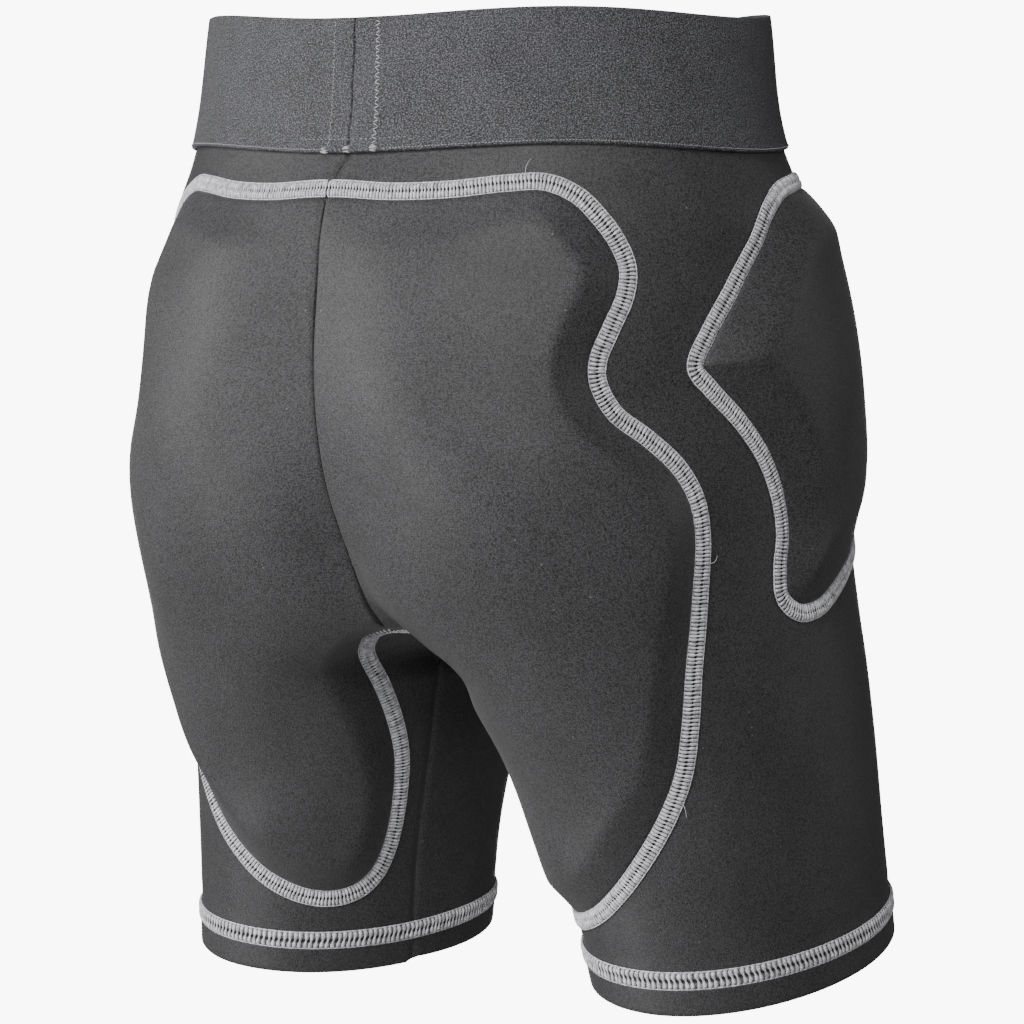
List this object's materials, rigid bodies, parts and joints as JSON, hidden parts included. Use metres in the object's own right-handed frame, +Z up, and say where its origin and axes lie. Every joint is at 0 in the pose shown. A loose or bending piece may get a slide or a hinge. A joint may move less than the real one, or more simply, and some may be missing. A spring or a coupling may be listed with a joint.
{
  "type": "padded compression shorts with hip pads",
  "caption": "Close-fitting padded sport shorts with an elastic waistband, raised seat-and-thigh pads and hip pads framed by pale coverstitching.",
  "frame": {"origin": "centre of the waist opening, level with the top edge of the waistband", "axes": "+Z up out of the waist opening, -Y the wearer's front, +X the wearer's left"},
  "size_m": [0.3022, 0.2182, 0.3708],
  "materials": {
    "shell": "matte fine stretch knit, dark grey",
    "pads": "matte fine stretch knit over foam, dark grey",
    "waistband": "matte mottled knitted elastic, dark grey",
    "thread": "pale grey coverstitch thread"
  },
  "bodies": {
    "root": {"waistband": "waistband", "shell_left": "shell", "shell_right": "shell", "rear_pad_left": "pads", "rear_pad_right": "pads", "hip_pad_left": "pads", "hip_pad_right": "pads", "rear_stitching_left": "thread", "rear_stitching_right": "thread", "hip_stitching_left": "thread", "hip_stitching_right": "thread", "hem_stitching_left": "thread", "hem_stitching_right": "thread"}
  },
  "joints": []
}
